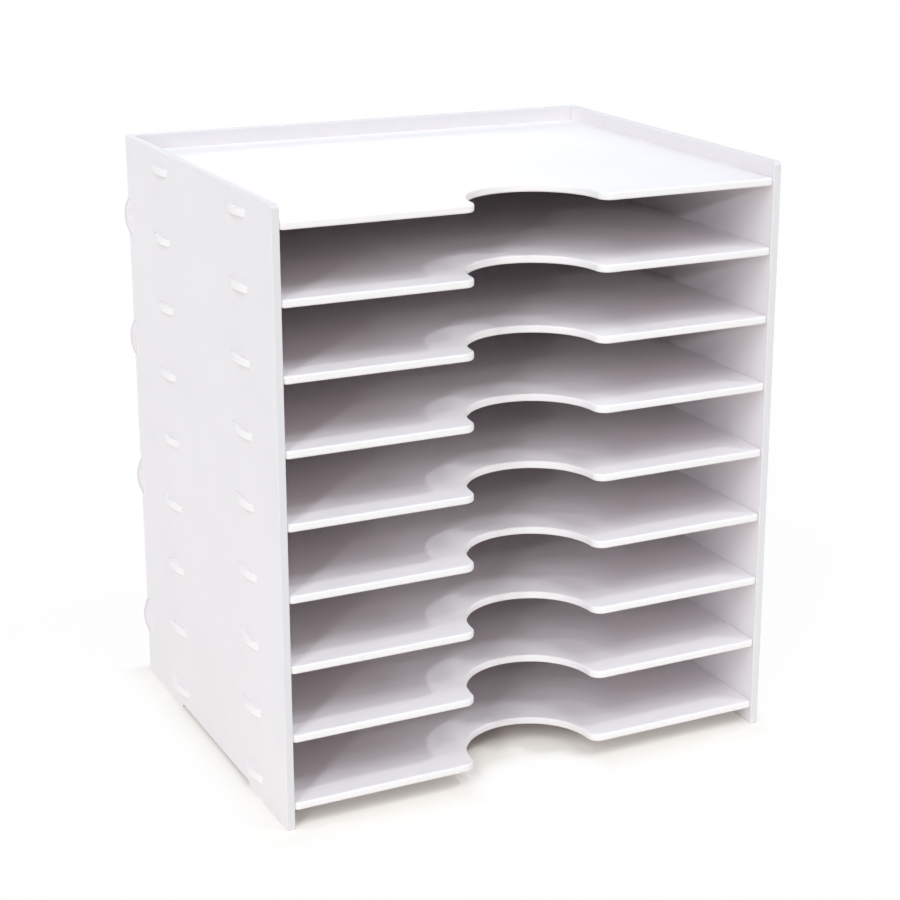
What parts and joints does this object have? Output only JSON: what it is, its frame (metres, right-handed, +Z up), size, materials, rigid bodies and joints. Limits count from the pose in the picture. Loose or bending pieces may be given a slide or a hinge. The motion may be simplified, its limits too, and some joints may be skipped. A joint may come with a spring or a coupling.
{
  "type": "envelope and paper sorter",
  "caption": "Open-fronted desktop sorter in white foam board: level shelves with finger notches, slotted through two side panels and a back panel.",
  "frame": {"origin": "on the floor, under the middle of the box round the whole sorter with its tab ends", "axes": "+X to the right seen from the open front, +Y to the back panel, +Z up"},
  "size_m": [0.341, 0.268, 0.379],
  "materials": {
    "foam_board": "matt white expanded PVC board"
  },
  "bodies": {
    "root": {"side_panel_left": "foam_board", "side_panel_right": "foam_board", "back_panel": "foam_board", "shelf_1": "foam_board", "shelf_2": "foam_board", "shelf_3": "foam_board", "shelf_4": "foam_board", "shelf_5": "foam_board", "shelf_6": "foam_board", "shelf_7": "foam_board", "shelf_8": "foam_board", "top_shelf": "foam_board"}
  },
  "joints": []
}
